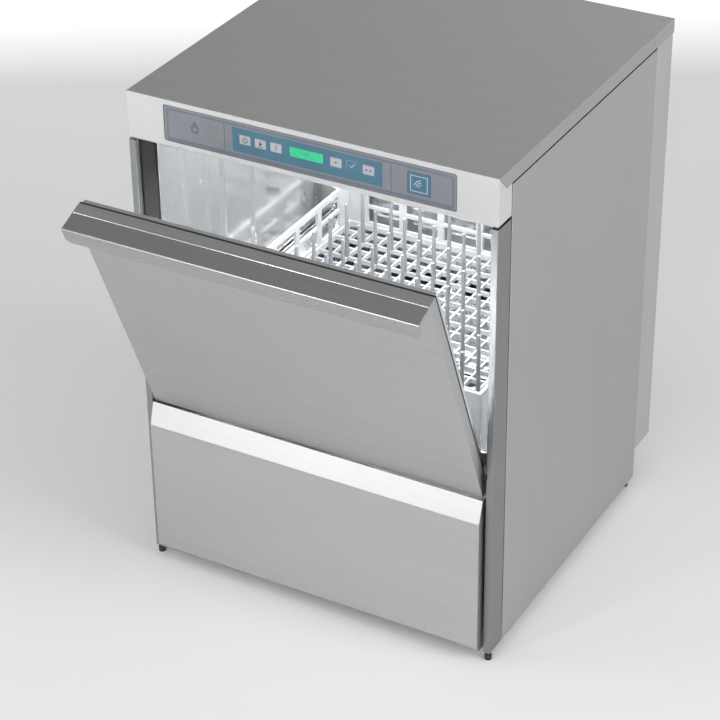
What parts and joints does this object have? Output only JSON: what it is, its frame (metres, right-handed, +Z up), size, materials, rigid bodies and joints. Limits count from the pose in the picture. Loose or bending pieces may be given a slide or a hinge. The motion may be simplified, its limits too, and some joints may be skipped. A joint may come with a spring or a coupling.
{
  "type": "commercial undercounter glass washer",
  "caption": "Undercounter glass washer with a stainless cabinet, drop-down door held ajar, pull-out glass rack, rotating wash arms and a touch-button control fascia.",
  "frame": {"origin": "on the floor, in the middle of the machine box with the door held ajar", "axes": "+Z up; the door and controls face -Y; +X is the right-hand side seen from the front"},
  "size_m": [0.6, 0.8028, 0.82],
  "materials": {
    "casing_steel": "brushed",
    "fascia_steel": "fine brushed",
    "polished_steel": "polished",
    "bright_steel": "bright",
    "black_rubber": "matt",
    "foot_plastic": "matt",
    "overlay_film": "satin",
    "blue_film": "satin",
    "button_film": "satin",
    "lcd_window": "gloss",
    "dark_plastic": "matt",
    "grey_plastic": "matt",
    "motor_paint": "satin",
    "hose_rubber": "matt"
  },
  "bodies": {
    "root": {"base_tray": "casing_steel", "casing_screws": "bright_steel", "chamber_back_wall": "polished_steel", "chamber_roof": "polished_steel", "chamber_side_walls": "polished_steel", "control_box": "dark_plastic", "delivery_pipes": "polished_steel", "display_window": "lcd_window", "door_gasket": "black_rubber", "dosing_pumps": "grey_plastic", "drain_pump": "dark_plastic", "drain_spigot": "dark_plastic", "front_fascia": "fascia_steel", "hinge_pins": "bright_steel", "inlet_valve": "dark_plastic", "keypad_field": "blue_film", "keypad_overlay": "overlay_film", "left_front_pillar": "fascia_steel", "left_side_panel": "casing_steel", "lower_arm_bearing": "bright_steel", "lower_front_panel": "casing_steel", "mains_gland": "dark_plastic", "rack_rails": "polished_steel", "rear_cover": "casing_steel", "right_front_pillar": "fascia_steel", "right_side_panel": "casing_steel", "rinse_boiler": "polished_steel", "suction_hose": "hose_rubber", "tank_heater": "bright_steel", "tank_strainers": "polished_steel", "top_cover": "casing_steel", "upper_arm_bearing": "bright_steel", "wash_pump_housing": "dark_plastic", "wash_pump_motor": "motor_paint", "wash_tank": "polished_steel"},
    "door": {"door_outer_skin": "casing_steel", "door_seam_seal": "black_rubber", "door_inner_panel": "polished_steel", "door_handle": "casing_steel", "hinge_blocks": "bright_steel", "torsion_springs": "bright_steel"},
    "rack": {"rack_base": "grey_plastic", "rack_walls": "grey_plastic", "rack_pegs": "dark_plastic"},
    "lower_wash_arm_body": {"lower_wash_arm": "polished_steel"},
    "lower_rinse_arm_body": {"lower_rinse_arm": "polished_steel"},
    "upper_wash_arm_body": {"upper_wash_arm": "polished_steel"},
    "upper_rinse_arm_body": {"upper_rinse_arm": "polished_steel"},
    "wash_pump_rotor_body": {"wash_pump_rotor": "dark_plastic"},
    "drain_pump_rotor_body": {"drain_pump_rotor": "dark_plastic"},
    "power_button_body": {"power_button": "button_film"},
    "drain_button_body": {"drain_button": "button_film"},
    "info_button_body": {"info_button": "button_film"},
    "program_one_button_body": {"program_one_button": "button_film"},
    "program_two_button_body": {"program_two_button": "button_film"},
    "start_button_body": {"start_button": "blue_film"},
    "foot_front_right_body": {"foot_front_right": "foot_plastic"},
    "foot_front_left_body": {"foot_front_left": "foot_plastic"},
    "foot_rear_right_body": {"foot_rear_right": "foot_plastic"},
    "foot_rear_left_body": {"foot_rear_left": "foot_plastic"}
  },
  "joints": [
    {"name": "door_hinge", "type": "hinge", "parent": "root", "child": "door", "pos_m": [0, -0.20098, 0.3334], "axis": [1, 0, 0], "range_deg": [-22.5, 67.5]},
    {"name": "rack_slide", "type": "slide", "parent": "root", "child": "rack", "axis": [0, -1, 0], "range_m": [0, 0.03]},
    {"name": "lower_wash_arm_spin", "type": "hinge", "parent": "root", "child": "lower_wash_arm_body", "pos_m": [0, 0.10452, 0.311], "axis": [0, 0, 1], "continuous": true},
    {"name": "lower_rinse_arm_spin", "type": "hinge", "parent": "root", "child": "lower_rinse_arm_body", "pos_m": [0, 0.10452, 0.332], "axis": [0, 0, 1], "continuous": true},
    {"name": "upper_wash_arm_spin", "type": "hinge", "parent": "root", "child": "upper_wash_arm_body", "pos_m": [0, 0.10452, 0.727], "axis": [0, 0, 1], "continuous": true},
    {"name": "upper_rinse_arm_spin", "type": "hinge", "parent": "root", "child": "upper_rinse_arm_body", "pos_m": [0, 0.10452, 0.703], "axis": [0, 0, 1], "continuous": true},
    {"name": "wash_pump_spin", "type": "hinge", "parent": "root", "child": "wash_pump_rotor_body", "pos_m": [0, 0.12852, 0.095], "axis": [1, 0, 0], "continuous": true},
    {"name": "drain_pump_spin", "type": "hinge", "parent": "root", "child": "drain_pump_rotor_body", "pos_m": [0.19, 0.12852, 0.062], "axis": [0, 1, 0], "continuous": true},
    {"name": "power_button_press", "type": "slide", "parent": "root", "child": "power_button_body", "axis": [0, 1, 0], "range_m": [0, 0.0006], "stiffness_N_per_m": 400},
    {"name": "drain_button_press", "type": "slide", "parent": "root", "child": "drain_button_body", "axis": [0, 1, 0], "range_m": [0, 0.0006], "stiffness_N_per_m": 400},
    {"name": "info_button_press", "type": "slide", "parent": "root", "child": "info_button_body", "axis": [0, 1, 0], "range_m": [0, 0.0006], "stiffness_N_per_m": 400},
    {"name": "program_one_button_press", "type": "slide", "parent": "root", "child": "program_one_button_body", "axis": [0, 1, 0], "range_m": [0, 0.0006], "stiffness_N_per_m": 400},
    {"name": "program_two_button_press", "type": "slide", "parent": "root", "child": "program_two_button_body", "axis": [0, 1, 0], "range_m": [0, 0.0006], "stiffness_N_per_m": 400},
    {"name": "start_button_press", "type": "slide", "parent": "root", "child": "start_button_body", "axis": [0, 1, 0], "range_m": [0, 0.0006], "stiffness_N_per_m": 400},
    {"name": "foot_front_right_screw", "type": "slide", "parent": "root", "child": "foot_front_right_body", "axis": [0, 0, 1], "range_m": [-0.012, 0]},
    {"name": "foot_front_left_screw", "type": "slide", "parent": "root", "child": "foot_front_left_body", "axis": [0, 0, 1], "range_m": [-0.012, 0]},
    {"name": "foot_rear_right_screw", "type": "slide", "parent": "root", "child": "foot_rear_right_body", "axis": [0, 0, 1], "range_m": [-0.012, 0]},
    {"name": "foot_rear_left_screw", "type": "slide", "parent": "root", "child": "foot_rear_left_body", "axis": [0, 0, 1], "range_m": [-0.012, 0]}
  ]
}
